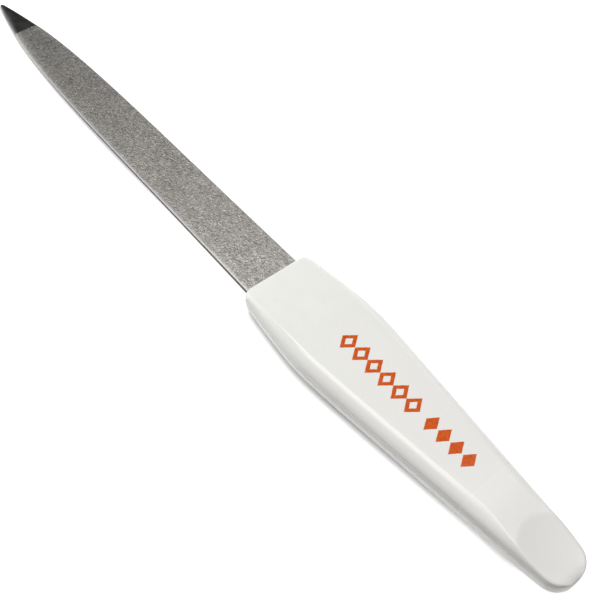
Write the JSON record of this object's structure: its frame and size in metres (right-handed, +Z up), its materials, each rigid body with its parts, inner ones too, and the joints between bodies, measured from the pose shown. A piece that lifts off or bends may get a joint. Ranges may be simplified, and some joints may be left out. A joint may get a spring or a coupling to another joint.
{
  "type": "sapphire nail file",
  "caption": "Pointed nail file: a tapered steel blade with a grit coat on each face, in a white moulded handle with a scooped end for pushing back the cuticle.",
  "frame": {"origin": "middle of the file's length and width, on the plane of the handle's flat underside", "axes": "+X from the point towards the scooped end, +Z up out of the face that has the scoop"},
  "size_m": [0.13, 0.0138, 0.0052],
  "materials": {
    "polished_steel": "polished at the point, ground along the edges",
    "sapphire_grit": "rough grey grit with a fine sparkle",
    "white_plastic": "white, softly glossy, as moulded"
  },
  "bodies": {
    "root": {"file_blade": "polished_steel", "grit_coat_top": "sapphire_grit", "grit_coat_underside": "sapphire_grit", "handle": "white_plastic"}
  },
  "joints": []
}
